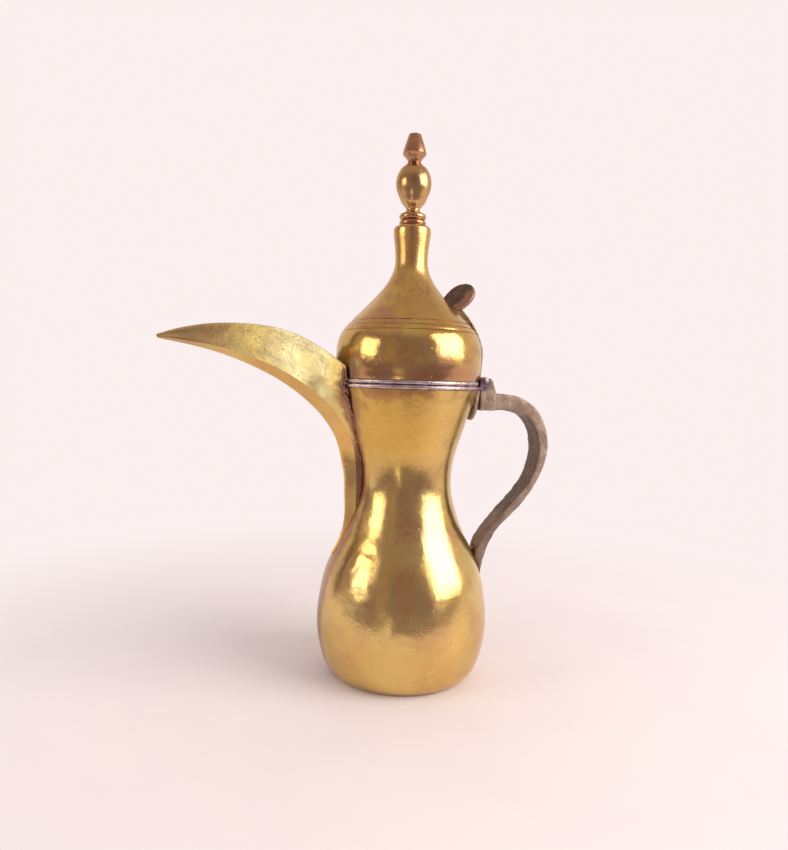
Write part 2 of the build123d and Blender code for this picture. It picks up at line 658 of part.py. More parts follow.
if __name__ == "__main__":
    os.makedirs("parts", exist_ok=True)
    nodes = {
        "base_plate": [base_plate()],
        "lower_bowl": [lower_bowl()],
        "upper_neck": [upper_neck()],
        "pot_rim_ring": [rim_ring(NECK_TOP_Z, PARTING_Z - PARTING_GAP)],
        "spout_cheek_left": [spout_cheek(1)],
        "spout_cheek_right": [spout_cheek(-1)],
        "spout_keel": [spout_keel()],
        "handle_strap": [handle_strap()],
        "hinge_block": [hinge_block()],
        "hinge_lugs": hinge_lugs(),
        "handle_tongue": [handle_tongue()],
        "handle_saddle": [handle_saddle()],
        "handle_studs": handle_studs(),
        "foot_rivets": foot_rivets(),
        "foot_rivet_burrs": foot_rivet_burrs(),
        "hinge_pin": [hinge_pin()],
        "lid_dome": [lid_dome()],
        "lid_rim_ring": [rim_ring(PARTING_Z, LID_FOOT_Z)],
        "lid_collar": [lid_collar()],
        "lid_strap": [lid_strap()],
        "strap_rivets": strap_rivets(),
        "thumb_plate": [thumb_plate()],
        "chimney_cap": [chimney_cap()],
        "finial_collar": [finial_collar()],
        "finial": [finial()],
        "finial_stem": [finial_stem()],
        "stem_washer": [stem_washer()],
    }
    for node, solids in nodes.items():
        export_step(Compound(solids) if len(solids) > 1 else solids[0], f"parts/{node}.step")
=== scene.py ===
"""Looks of the dallah coffee pot: hammered brass sheet, forged handle, tinned rings.

Metres throughout.  The axis of bowl and lid is +Z, the spout points along -X.
Turned sheets and forged parts start from the CAD node's own mesh, the rings from its box,
the spout from a table of sections.
"""
import math

import bmesh
import bpy
import numpy as np
from mathutils import Matrix, Vector, noise


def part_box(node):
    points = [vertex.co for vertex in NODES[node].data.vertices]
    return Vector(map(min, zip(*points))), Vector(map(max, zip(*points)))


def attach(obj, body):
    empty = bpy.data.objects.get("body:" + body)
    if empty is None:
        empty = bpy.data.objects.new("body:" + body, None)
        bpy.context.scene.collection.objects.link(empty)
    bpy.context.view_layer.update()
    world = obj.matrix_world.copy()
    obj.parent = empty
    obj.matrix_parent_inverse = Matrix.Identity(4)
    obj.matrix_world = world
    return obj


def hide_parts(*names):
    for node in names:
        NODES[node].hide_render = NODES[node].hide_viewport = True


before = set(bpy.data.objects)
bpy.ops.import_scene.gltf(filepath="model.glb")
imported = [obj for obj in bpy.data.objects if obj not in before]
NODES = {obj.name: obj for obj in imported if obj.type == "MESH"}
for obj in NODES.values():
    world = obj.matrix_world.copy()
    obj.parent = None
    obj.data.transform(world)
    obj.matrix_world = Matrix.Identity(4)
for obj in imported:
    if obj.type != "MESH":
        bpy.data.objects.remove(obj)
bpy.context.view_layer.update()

MM = 0.001
SHEET = 1.3 * MM
SPOUT_SHEET = 1.2 * MM
LID_CLEAR = 0.7 * MM            # play between the lid and what stands beside it
RING_IN_R = 35.2 * MM           # inner radius of both wire rings

# ---- places read from the frame ------
WAIST_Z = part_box("lower_bowl")[1][2]
NECK_TOP_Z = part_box("upper_neck")[1][2]
LID_FOOT_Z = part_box("lid_dome")[0][2]
CHIMNEY_TOP_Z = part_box("lid_dome")[1][2]
PARTING_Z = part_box("lid_rim_ring")[0][2]
RING_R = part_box("lid_rim_ring")[1][0]


# ---- small mathematics ---------------
def smooth_step(value, low, high):
    """0 below low, 1 above high, smooth between."""
    share = np.clip((np.asarray(value, float) - low) / (high - low), 0.0, 1.0)
    return share * share * (3.0 - 2.0 * share)


def spline_through(points, places):
    """Natural cubic spline through rows of points, read at places from 0 to 1 by length."""
    points = np.asarray(points, float)
    steps = np.linalg.norm(np.diff(points[:, :2], axis=0), axis=1)
    knots = np.concatenate([[0.0], np.cumsum(steps)])
    knots /= knots[-1]
    gaps = np.diff(knots)
    count = len(knots)
    system = np.eye(count)
    right = np.zeros_like(points)
    slopes = np.diff(points, axis=0) / gaps[:, None]
    for row in range(1, count - 1):
        system[row, row - 1] = gaps[row - 1]
        system[row, row] = 2.0 * (gaps[row - 1] + gaps[row])
        system[row, row + 1] = gaps[row]
        right[row] = 6.0 * (slopes[row] - slopes[row - 1])
    bend = np.linalg.solve(system, right)
    places = np.clip(places, 0.0, 1.0)
    span = np.clip(np.searchsorted(knots, places, side="right") - 1, 0, count - 2)
    gap = gaps[span][:, None]
    after = (places - knots[span])[:, None]
    before = gap - after
    curve = (bend[span] * before ** 3 + bend[span + 1] * after ** 3) / (6.0 * gap)
    curve += (points[span] / gap - bend[span] * gap / 6.0) * before
    curve += (points[span + 1] / gap - bend[span + 1] * gap / 6.0) * after
    return curve


def outline_of(node, outward, azimuth, skip=None):
    """(radius, height) points up the outer or inner face of a turned CAD node.

    Only points within a wedge round azimuth count, and none in the skipped heights.
    """
    mesh = NODES[node].data
    found = {}
    half_wedge = math.radians(35.0)
    for polygon in mesh.polygons:
        facing = polygon.normal
        for index in polygon.vertices:
            place = mesh.vertices[index].co
            radius = math.hypot(place.x, place.y)
            turn = math.atan2(place.y, place.x) - azimuth
            turn = math.atan2(math.sin(turn), math.cos(turn))
            radial = outward * (facing.x * place.x + facing.y * place.y) / radius
            skipped = skip and skip[0] < place.z < skip[1]
            if abs(turn) <= half_wedge and radial >= 0.15 and not skipped:
                found[(round(place.z, 6), round(radius, 6))] = (radius, place.z)
    ordered = [found[key] for key in sorted(found)]
    spacing = 0.4 * MM
    kept = [ordered[0]]
    for place in ordered[1:-1]:
        if math.dist(place, kept[-1]) > spacing:
            kept.append(place)
    if math.dist(ordered[-1], kept[-1]) < spacing:
        kept.pop()
    kept.append(ordered[-1])
    return np.array(kept)


def along(outline, step):
    """The outline read again at even steps, with a narrow row at each end."""
    length = np.linalg.norm(np.diff(outline, axis=0), axis=1).sum()
    count = max(int(round(length / step)), 2)
    places = np.linspace(0.0, 1.0, count + 1)
    narrow = 0.12 * MM / length
    places = np.concatenate([[0.0, narrow], places[1:-1], [1.0 - narrow, 1.0]])
    return spline_through(outline, places)


# ---- beaten metal --------------------
def lumps(place, scale, seed):
    """Smooth noise from about -1 to 1, with features about scale metres wide."""
    return noise.noise(Vector(place) / scale + Vector((seed * 7.13, seed * 3.71, seed * 5.37)))


def hammer_marks(place, size, seed):
    """Shallow dishes about size wide with soft ridges between them, 0 to 1."""
    shifted = Vector(place) / size + Vector((seed * 4.7, seed * 9.1, seed * 2.3))
    nearest = noise.voronoi(shifted)[0][0]
    return min(nearest * nearest * 1.6, 1.0)


def beaten(place, broad, marks, seed):
    """How far beaten sheet stands off its true surface at a place, never much above it."""
    wave = 0.65 * lumps(place, 46 * MM, seed) + 0.35 * lumps(place, 21 * MM, seed + 2)
    depth = 0.6 + 0.9 * abs(lumps(place, 34 * MM, seed + 5))
    broad *= 1.0 + 0.7 * math.exp(-((place[2] - WAIST_Z) / (24 * MM)) ** 2)
    return broad * (wave - 0.45) + marks * depth * (hammer_marks(place, 9 * MM, seed) - 0.6)


def dents(place):
    """Crinkled dents on the bowl's shoulder to the left of the front."""
    turn = math.degrees(math.atan2(-place[0], -place[1])) - 46.0
    rise = (place[2] - 68 * MM) / (24 * MM)
    near = math.exp(-(turn / 15.0) ** 2 - rise * rise)
    return 0.34 * MM * near * (lumps(place, 9 * MM, 31.0) + 0.6 * lumps(place, 4.5 * MM, 32.0) - 0.5)


# ---- mesh building -------------------
def placed(name, data):
    """A new object in the scene."""
    obj = bpy.data.objects.new(name, data)
    bpy.context.scene.collection.objects.link(obj)
    return obj


def plain_object(name, points, faces):
    mesh = bpy.data.meshes.new(name)
    mesh.from_pydata([tuple(p) for p in points], [], faces)
    return placed(name, mesh)


def piece(name, points, faces, material, body, replaces):
    """A mesh object that rides on a body and takes a material."""
    obj = plain_object(name, points, faces)
    obj.data.validate()
    finish_piece(obj, material, body, replaces)


def finish_piece(obj, material, body, replaces=(), sharp=40.0):
    """The object takes its material, rides on its body and hides the nodes it replaces."""
    mesh = obj.data
    mesh.materials.clear()
    mesh.materials.append(material)
    for polygon in mesh.polygons:
        polygon.use_smooth = True
    mesh.set_sharp_from_angle(angle=math.radians(sharp))
    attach(obj, body)
    if replaces:
        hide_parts(*replaces)


def grid_faces(rows, columns, close_rows, close_columns):
    """Quads of a grid whose points run column by column within each row."""
    faces = []
    for row in range(rows if close_rows else rows - 1):
        below = row * columns
        above = ((row + 1) % rows) * columns
        for column in range(columns if close_columns else columns - 1):
            beside = (column + 1) % columns
            faces.append((below + column, below + beside, above + beside, above + column))
    return faces


def loop_normals(loop):
    """Directions square to a closed (radius, height) loop that runs up its outer face."""
    after = np.roll(loop, -1, axis=0) - loop
    before = loop - np.roll(loop, 1, axis=0)
    size_after = np.linalg.norm(after, axis=1)[:, None]
    size_before = np.linalg.norm(before, axis=1)[:, None]
    after = after / np.maximum(size_after, 1e-9)
    before = before / np.maximum(size_before, 1e-9)
    corner = (after * before).sum(axis=1) < 0.5
    starts = corner & np.roll(~corner, -1)
    ahead = np.where(corner[:, None], np.where(starts[:, None], after, before), after + before)
    length = np.linalg.norm(ahead, axis=1)[:, None]
    ahead = ahead / np.maximum(length, 1e-9)
    return np.column_stack([ahead[:, 1], -ahead[:, 0]])


def turned_points(loop, segments, push=None):
    """Points of a closed loop turned about Z; push(place, row) moves them square to the sheet."""
    normals = loop_normals(loop)
    points = []
    for row, (radius, height) in enumerate(loop):
        for column in range(segments):
            angle = 2.0 * math.pi * column / segments
            cosine = math.cos(angle)
            sine = math.sin(angle)
            away = push((radius * cosine, radius * sine, height), row) if push else 0.0
            reach = radius + away * normals[row][0]
            points.append((reach * cosine, reach * sine, height + away * normals[row][1]))
    return points


def cut(obj, cutter):
    """Take the cutter's space out of obj; the cutter is thrown away."""
    modifier = obj.modifiers.new("cut", "BOOLEAN")
    modifier.operation = "DIFFERENCE"
    modifier.solver = "EXACT"
    modifier.object = cutter
    bake_modifiers(obj)
    bpy.data.objects.remove(cutter)


def bake_modifiers(obj):
    bpy.context.view_layer.update()
    depsgraph = bpy.context.evaluated_depsgraph_get()
    result = bpy.data.meshes.new_from_object(obj.evaluated_get(depsgraph))
    obj.modifiers.clear()
    obj.data = result


# ---- node helpers --------------------
class Nodes:
    """A node tree with short calls; colours are (red, green, blue)."""

    def __init__(self, tree, coordinates):
        self.tree = tree
        self.place = self.node("ShaderNodeTexCoord", {}, coordinates)

    def feed(self, socket, value):
        if isinstance(value, bpy.types.NodeSocket):
            self.tree.links.new(value, socket)
        elif socket.type == "RGBA":
            socket.default_value = (*value, 1.0)
        else:
            socket.default_value = value

    def node(self, kind, inputs, output=0, **settings):
        made = self.tree.nodes.new(kind)
        for key, value in settings.items():
            setattr(made, key, value)
        for key, value in inputs.items():
            self.feed(made.inputs[key], value)
        return made.outputs[output]

    def math(self, operation, a, b=0.0, clamp=False):
        return self.node("ShaderNodeMath", {0: a, 1: b}, operation=operation, use_clamp=clamp)

    def times(self, a, b):
        return self.math("MULTIPLY", a, b)

    def plus(self, a, b, clamp=False):
        return self.math("ADD", a, b, clamp)

    def most(self, a, b):
        return self.math("MAXIMUM", a, b)

    def noise(self, scale, detail=4.0, rough=0.6, stretch=None, distort=0.0):
        place = self.place
        if stretch:
            place = self.node("ShaderNodeMapping", {"Vector": place, "Scale": stretch})
        return self.node("ShaderNodeTexNoise", {"Vector": place, "Scale": scale, "Detail": detail,
                                                "Roughness": rough, "Distortion": distort})

    def cells(self, scale):
        """Distance to the nearest of many scattered points."""
        return self.node("ShaderNodeTexVoronoi", {"Vector": self.place, "Scale": scale})

    def between(self, value, low, high, out_low=0.0, out_high=1.0):
        """Smooth change from out_low below low to out_high above high."""
        inputs = {"Value": value, "From Min": low, "From Max": high, "To Min": out_low, "To Max": out_high}
        return self.node("ShaderNodeMapRange", inputs, "Result", interpolation_type="SMOOTHSTEP")

    def fall(self, value, low, high):
        """1 below low, 0 above high."""
        return self.between(value, low, high, 1.0, 0.0)

    def patchy(self, scale, low, high, out_low=0.0, out_high=1.0):
        """Noise of a scale, sharpened into patches."""
        return self.between(self.noise(scale), low, high, out_low, out_high)

    def blend(self, share, first, second):
        return self.node("ShaderNodeMix", {0: share, 6: first, 7: second}, 2, data_type="RGBA")

    def coordinate(self, axis):
        return self.node("ShaderNodeSeparateXYZ", {0: self.place}, axis)

    def bump(self, height, distance, under=None):
        inputs = {"Height": height, "Distance": distance}
        if under is not None:
            inputs["Normal"] = under
        return self.node("ShaderNodeBump", inputs)


class Shader(Nodes):
    """A material and its node tree."""

    def __init__(self, name):
        self.material = bpy.data.materials.new(name)
        self.material.use_nodes = True
        super().__init__(self.material.node_tree, "Object")
        self.surface = self.tree.nodes["Principled BSDF"]

    def set(self, **values):
        for key, value in values.items():
            self.feed(self.surface.inputs[key.replace("_", " ")], value)

    def show(self, shader):
        """Let the material show this shader in place of its plain surface."""
        output = next(node for node in self.tree.nodes if node.type == "OUTPUT_MATERIAL")
        self.feed(output.inputs["Surface"], shader)


# ---- materials -----------------------
def brass_sheet(name, clean, warm, dull, rough_low, rough_high, extra=None):
    """Worn beaten brass: cloudy colour, pits, hairline scratches, uneven polish."""
    s = Shader(name)
    clouds = s.noise(26.0, 5.0, 0.6)
    patches = s.noise(70.0, 6.0, 0.68)
    grain = s.noise(1100.0, 3.0, 0.6)
    base = s.blend(s.between(clouds, 0.36, 0.66), clean, warm)
    base = s.blend(s.times(s.between(patches, 0.5, 0.76), 0.45), base, dull)
    pits = s.fall(s.cells(360.0), 0.0, 0.17)
    pits = s.times(pits, s.between(s.noise(120.0, 2.0, 0.55), 0.56, 0.64))
    specks = s.fall(s.cells(170.0), 0.02, 0.085)
    specks = s.times(specks, s.between(s.noise(61.0, 2.0, 0.55), 0.43, 0.52))
    pits = s.most(pits, specks)
    base = s.blend(s.times(pits, 0.75), base, (0.12, 0.06, 0.025))
    dullness = 0.0
    if extra:
        base, dullness = extra(s, base)
    hairs = s.between(s.noise(2600.0, 2.0, 0.5, stretch=(1.0, 1.0, 0.02), distort=0.3), 0.60, 0.72)
    polish = s.between(patches, 0.3, 0.75, rough_low, rough_high)
    polish = s.plus(polish, s.times(hairs, 0.03))
    polish = s.plus(polish, dullness)
    polish = s.plus(polish, s.times(pits, 0.3), clamp=True)
    relief = s.bump(s.noise(170.0), 0.16 * MM)
    relief = s.bump(grain, 0.014 * MM, under=relief)
    relief = s.bump(pits, -0.10 * MM, under=relief)
    s.set(Base_Color=base, Metallic=1.0, Roughness=polish, Normal=relief)
    return s.material


def rough_metal(name, light, dark, worn, rough_low, rough_high, lump_depth, metallic=1.0, extra=None):
    """Forged or cast metal with patina in its hollows and wear on its high spots."""
    s = Shader(name)
    coarse = s.noise(160.0, 6.0, 0.7)
    fine = s.noise(620.0, 5.0, 0.7)
    base = s.blend(s.between(coarse, 0.36, 0.66), dark, light)
    base = s.blend(s.between(fine, 0.52, 0.72, 0.0, 0.6), base, dark)
    edges = s.node("ShaderNodeNewGeometry", {}, "Pointiness")
    wear = s.between(edges, 0.515, 0.60)
    wear = s.times(wear, s.between(s.noise(300.0, 4.0, 0.55), 0.35, 0.65))
    base = s.blend(wear, base, worn)
    if extra:
        base = extra(s, base)
    dull = s.between(fine, 0.35, 0.7, rough_low, rough_high)
    relief = s.bump(coarse, lump_depth)
    relief = s.bump(fine, 0.35 * lump_depth, under=relief)
    s.set(Base_Color=base, Metallic=metallic, Roughness=dull, Normal=relief)
    return s.material


def handle_painted_shade(s, base):
    """Painted shade on the handle's inner face, which faces the pot; also darker low down near the pot."""
    # painted shade: faces turned towards the pot are darkened
    facing = s.node("ShaderNodeTexCoord", {}, "Normal")
    inner = s.fall(s.node("ShaderNodeSeparateXYZ", {0: facing}, 0), -0.75, -0.30)
    inner = s.times(inner, s.between(s.coordinate(0), 49 * MM, 56 * MM))
    low = s.between(s.coordinate(0), 49 * MM, 70 * MM, 0.35, 0.0)
    low = s.times(low, s.fall(s.coordinate(2), 110 * MM, 130 * MM))
    share = s.most(s.times(inner, 0.72), low)
    return s.blend(share, base, (0.115, 0.075, 0.065))


def solder_drops(s, base):
    """Bright drops of bare solder near the mouth."""
    drops = s.fall(s.cells(430.0), 0.10, 0.30)
    drops = s.times(drops, s.between(s.noise(190.0, 2.0, 0.55), 0.50, 0.56))
    drops = s.times(drops, s.between(s.coordinate(2), 146 * MM, 153 * MM))
    return s.blend(drops, base, (0.80, 0.74, 0.72))


THUMB_MIDDLE = (26.4 * MM, 0.0, 204.7 * MM)
THUMB_SIDE = (0.4355, -0.788, -0.4355)      # across the plate, towards its lit edge


def thumb_painted_light(s, base):
    """Painted light: the reddish, lighter half of the thumb plate, on the edge the light falls on."""
    offset = s.node("ShaderNodeVectorMath", {0: s.place, 1: THUMB_MIDDLE}, operation="SUBTRACT")
    reach = s.node("ShaderNodeVectorMath", {0: offset, 1: THUMB_SIDE}, "Value", operation="DOT_PRODUCT")
    ragged = s.patchy(160.0, 0.3, 0.7, -1.2 * MM, 1.2 * MM)
    # painted light on the plate's lit edge
    lit_half = s.between(s.plus(reach, ragged), 1.5 * MM, 4.5 * MM)
    return s.blend(s.times(lit_half, 0.85), base, (0.38, 0.205, 0.145))


SEAM_HALF_LOW = 5.2 * MM        # half width of the spout's joint at the waist and at the mouth
SEAM_HALF_HIGH = 16.5 * MM
ROOT_REACH_LOW = 25.8 * MM      # joint's distance from the pot's axis at the same places
ROOT_REACH_HIGH = 38.6 * MM


def beside_spout(s):
    """1 along the joint of spout and pot, fading over a few millimetres."""
    half_width = s.between(s.coordinate(2), 116 * MM, 158 * MM, SEAM_HALF_LOW, SEAM_HALF_HIGH)
    gap = s.math("SUBTRACT", s.math("ABSOLUTE", s.coordinate(1)), half_width)
    ragged = s.patchy(150.0, 0.3, 0.7, -1.6 * MM, 1.6 * MM)
    near = s.fall(s.plus(gap, ragged), 2.0 * MM, 7.5 * MM)
    return s.times(near, s.fall(s.coordinate(0), -14 * MM, -8 * MM))


def pot_stains_and_reflection(s, base):
    """Duller, redder neck, painted dark reflection round the waist, brown below the mouth, brown tarnish
    beside the spout, mottled bowl.
    """
    height = s.coordinate(2)
    mottle = s.between(s.noise(44.0, 5.0, 0.66, distort=0.6), 0.50, 0.64, 0.0, 0.48)
    mottle = s.times(mottle, s.between(height, 20 * MM, 45 * MM, 0.45, 1.0))
    base = s.blend(mottle, base, (0.54, 0.31, 0.19))
    neck = s.between(height, 100 * MM, 128 * MM)
    warm = s.times(neck, s.between(s.coordinate(0), -4 * MM, 16 * MM, 0.8, 0.25))
    base = s.blend(warm, base, (0.66, 0.40, 0.085))
    # painted reflection: dark band of the room round the waist
    waist_reflection = s.between(height, 97 * MM, 107 * MM)
    waist_reflection = s.times(waist_reflection, s.fall(height, 110 * MM, 122 * MM))
    waist_reflection = s.times(waist_reflection, s.patchy(45.0, 0.36, 0.6, 0.05, 0.35))
    base = s.blend(waist_reflection, base, (0.40, 0.22, 0.08))
    ragged = s.patchy(70.0, 0.40, 0.60)
    under_rim = s.between(height, NECK_TOP_Z - 8 * MM, NECK_TOP_Z - 2 * MM)
    blotch = s.between(height, NECK_TOP_Z - 16 * MM, NECK_TOP_Z - 4 * MM)
    blotch = s.times(blotch, s.fall(s.coordinate(0), -26 * MM, -6 * MM))
    blotch = s.times(blotch, s.patchy(95.0, 0.36, 0.56))
    under_rim = s.most(s.times(under_rim, ragged), blotch)
    stain = s.most(under_rim, beside_spout(s))
    base = s.blend(s.times(stain, 0.78), base, (0.34, 0.15, 0.075))
    return base, s.times(s.most(neck, stain), 0.07)


def root_tarnish(s):
    """1 on the strip of cheek next to the neck, which widens towards the mouth."""
    flat = s.node("ShaderNodeVectorMath", {0: s.place, 1: (1.0, 1.0, 0.0)}, operation="MULTIPLY")
    reach = s.node("ShaderNodeVectorMath", {0: flat}, "Value", operation="LENGTH")
    height = s.coordinate(2)
    wall = s.between(height, 118 * MM, 156 * MM, ROOT_REACH_LOW, ROOT_REACH_HIGH)
    ragged = s.patchy(150.0, 0.3, 0.7, -1.2 * MM, 1.2 * MM)
    gap = s.plus(s.math("SUBTRACT", reach, wall), ragged)
    fade = s.fall(height, 160 * MM, 171 * MM)
    return s.times(s.fall(gap, 0.8 * MM, 4.2 * MM), fade)


def spout_stains_and_highlight(s, base):
    """Painted highlight in the middle, brown towards the tip, olive patches, dark where it meets the neck.
    """
    place = s.coordinate(0)
    # painted highlight: pale band across the middle of the cheeks
    pale = s.between(place, -84 * MM, -64 * MM)
    pale = s.times(pale, s.fall(place, -48 * MM, -40 * MM))
    pale = s.times(pale, s.patchy(60.0, 0.32, 0.58, 0.45, 1.0))
    base = s.blend(s.times(pale, 0.85), base, (0.88, 0.79, 0.46))
    tip = s.fall(place, -108 * MM, -84 * MM)
    tip = s.times(tip, s.patchy(50.0, 0.3, 0.6, 0.6, 1.0))
    base = s.blend(s.times(tip, 0.7), base, (0.42, 0.22, 0.10))
    olive = s.between(s.noise(55.0, 4.0, 0.55), 0.52, 0.64)
    olive = s.times(olive, s.between(s.coordinate(2), 150 * MM, 172 * MM, 0.75, 0.35))
    base = s.blend(olive, base, (0.36, 0.30, 0.13))
    root = root_tarnish(s)
    base = s.blend(s.times(root, 0.85), base, (0.35, 0.16, 0.085))
    return base, s.most(s.times(tip, 0.08), s.times(root, 0.12))


def keel_stains(s, base):
    """Clean underside with coppery clouds, a browner tip and a duller root."""
    coppery = s.patchy(85.0, 0.50, 0.62, 0.0, 0.65)
    base = s.blend(coppery, base, (0.74, 0.38, 0.13))
    tip = s.fall(s.coordinate(0), -118 * MM, -96 * MM)
    base = s.blend(s.times(tip, 0.5), base, (0.42, 0.22, 0.10))
    root = s.fall(s.coordinate(2), 80 * MM, 112 * MM)
    base = s.blend(s.times(root, 0.7), base, (0.50, 0.29, 0.11))
    return base, s.times(root, 0.2)


def lid_stains_and_reflections(s, base):
    """Coppery foot, partly the lid's own tone and partly a painted reflection of the darker room; coppery
    clouds; black painted reflection beside the spout; streaked and duller chimney.
    """
    height = s.coordinate(2)
    # coppery tone, partly a painted reflection of the darker room
    foot = s.fall(height, 161 * MM, 170 * MM)
    foot = s.times(foot, s.patchy(60.0, 0.34, 0.58, 0.35, 1.0))
    base = s.blend(s.times(foot, 0.75), base, (0.46, 0.20, 0.10))
    # painted reflection: black patch of the dark room beside the spout
    patch = s.fall(s.coordinate(0), -34.5 * MM, -26.5 * MM)
    patch = s.times(patch, s.fall(height, 165 * MM, 174 * MM))
    patch = s.times(patch, s.patchy(110.0, 0.36, 0.52, 0.3, 1.0))
    base = s.blend(s.times(patch, 0.9), base, (0.075, 0.075, 0.05))
    streaks = s.noise(300.0, 3.0, 0.6, stretch=(1.0, 1.0, 0.09))
    streaks = s.times(s.between(streaks, 0.50, 0.62), s.between(height, 190 * MM, 206 * MM))
    base = s.blend(s.times(streaks, 0.6), base, (0.50, 0.25, 0.13))
    coppery = s.between(s.noise(48.0, 5.0, 0.66, distort=0.6), 0.48, 0.62, 0.0, 0.6)
    base = s.blend(coppery, base, (0.54, 0.28, 0.15))
    cone = s.between(height, 184 * MM, 192 * MM)
    return base, s.times(s.most(s.times(cone, 0.6), patch), 0.12)


FINIAL_EGG_Z = 245 * MM         # where the egg starts and where it ends
FINIAL_CONE_Z = 271 * MM


def finial_stains(s, base):
    """Redder small cone on top of the finial and redder beads below it."""
    height = s.coordinate(2)
    cone = s.between(height, FINIAL_CONE_Z - 3 * MM, FINIAL_CONE_Z + 2 * MM)
    ends = s.most(cone, s.fall(height, FINIAL_EGG_Z - 3 * MM, FINIAL_EGG_Z + 3 * MM))
    patches = s.patchy(130.0, 0.44, 0.62)
    ends = s.most(s.times(ends, 0.8), s.times(patches, 0.45))
    return s.blend(ends, base, (0.44, 0.215, 0.125)), 0.0


# clean, warm and dull colours, roughness from polished to worn, stains with painted reflections and
# highlights
SHEETS = {
    "pot_brass": ((0.75, 0.54, 0.195), (0.69, 0.45, 0.15), (0.50, 0.30, 0.125), 0.16, 0.27, pot_stains_and_reflection),
    "spout_brass": ((0.78, 0.61, 0.24), (0.72, 0.53, 0.19), (0.56, 0.42, 0.18), 0.19, 0.30, spout_stains_and_highlight),
    "keel_brass": ((0.78, 0.55, 0.185), (0.72, 0.46, 0.14), (0.56, 0.36, 0.13), 0.17, 0.28, keel_stains),
    "lid_brass": ((0.73, 0.49, 0.155), (0.65, 0.39, 0.12), (0.45, 0.26, 0.10), 0.14, 0.24, lid_stains_and_reflections),
    "turned_brass": ((0.61, 0.375, 0.15), (0.51, 0.285, 0.12), (0.34, 0.175, 0.09),
                     0.18, 0.30, finial_stains),
}
# light, dark and worn colours, roughness from smooth to worn, depth of lumps, metallic share, extra
# colouring (painted shade on the handle, painted light on the thumb plate, solder drops)
METALS = {
    "handle_brass": ((0.42, 0.31, 0.225), (0.27, 0.185, 0.135), (0.54, 0.42, 0.30),
                     0.50, 0.72, 0.5 * MM, 0.55, handle_painted_shade),
    "rim_tin": ((0.74, 0.63, 0.63), (0.42, 0.31, 0.30), (0.86, 0.79, 0.77), 0.24, 0.42, 0.14 * MM),
    "hinge_metal": ((0.40, 0.32, 0.38), (0.16, 0.11, 0.13), (0.66, 0.58, 0.62), 0.32, 0.5, 0.15 * MM),
    "strap_metal": ((0.52, 0.42, 0.28), (0.30, 0.21, 0.12), (0.62, 0.50, 0.34), 0.36, 0.56, 0.12 * MM, 0.9),
    "thumb_metal": ((0.20, 0.125, 0.105), (0.11, 0.07, 0.06), (0.60, 0.36, 0.20),
                    0.42, 0.62, 0.2 * MM, 0.7, thumb_painted_light),
    "rivet_brass": ((0.52, 0.35, 0.16), (0.22, 0.13, 0.07), (0.70, 0.52, 0.26), 0.3, 0.5, 0.12 * MM),
    "solder": ((0.34, 0.17, 0.10), (0.20, 0.085, 0.05), (0.52, 0.36, 0.28),
               0.36, 0.6, 0.15 * MM, 0.9, solder_drops),
}
MATERIALS = {name: brass_sheet(name, *row) for name, row in SHEETS.items()}
MATERIALS.update({name: rough_metal(name, *row) for name, row in METALS.items()})


# ---- turned and beaten shells --------
SIDE = 0.5 * math.pi            # wedge away from spout, studs and rivets
GROOVE_ZONE = (183.2 * MM, 190.4 * MM)
STEP = 1.0 * MM                 # spacing of rows on outer faces, inner faces and beside the grooves
INNER_STEP = 1.6 * MM
GROOVE_STEP = 0.55 * MM
POT_SEGMENTS = 256

BOWL_OUT = outline_of("lower_bowl", 1, SIDE)
BOWL_IN = outline_of("lower_bowl", -1, SIDE, skip=(-1.0, 1.35 * MM))
NECK_OUT = outline_of("upper_neck", 1, SIDE)
NECK_IN = outline_of("upper_neck", -1, SIDE)
DOME_OUT = outline_of("lid_dome", 1, SIDE, skip=GROOVE_ZONE)
DOME_IN = outline_of("lid_dome", -1, SIDE)


def sheet_push(low, high, fade_low, fade_high, seed, broad, marks):
    """Beaten relief that dies away towards the sheet's two ends."""
    def push(place, row):
        height = place[2]
        fade = 1.0
        if fade_low:
            fade *= float(smooth_step(height, low, low + fade_low))
        if fade_high:
            fade *= 1.0 - float(smooth_step(height, high - fade_high, high))
        return fade * beaten(place, broad, marks, seed)
    return push


def turned_mesh(loop, segments, push):
    """Points and faces of a closed loop turned about Z."""
    return turned_points(loop, segments, push), grid_faces(len(loop), segments, True, True)


def dented(relief):
    """A sheet's relief with the dents of the bowl's shoulder added."""
    def push(place, row):
        return relief(place, row) + dents(place)
    return push


def make_bowl():
    outer = along(BOWL_OUT, STEP)
    inner = along(BOWL_IN, INNER_STEP)[::-1]
    base_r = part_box("base_plate")[1][0]
    base_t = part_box("base_plate")[1][2]
    foot = np.array([[inner[-1][0], base_t], [base_r, base_t], [base_r, 0.0]])
    relief = sheet_push(0.0, WAIST_Z, 9 * MM, 0.0, 1.0, 0.25 * MM, 0.07 * MM)
    points, faces = turned_mesh(np.vstack([outer, inner, foot]), POT_SEGMENTS, dented(relief))
    piece("bowl_sheet", points, faces, MATERIALS["pot_brass"], "pot", ["lower_bowl"])


def make_neck():
    outer = along(NECK_OUT, STEP)
    inner = along(NECK_IN, INNER_STEP)[::-1]
    relief = sheet_push(WAIST_Z, NECK_TOP_Z, 0.0, 5 * MM, 1.0, 0.22 * MM, 0.045 * MM)
    points, faces = turned_mesh(np.vstack([outer, inner]), POT_SEGMENTS, dented(relief))
    neck = plain_object("neck_sheet", points, faces)
    cut(neck, pour_prism())
    finish_piece(neck, MATERIALS["pot_brass"], "pot", ["upper_neck"])


# Opening behind the spout: height and half width in millimetres.
POUR_OPENING = [(118.0, 1.4), (128.0, 3.6), (138.0, 7.2), (150.0, 10.2)]


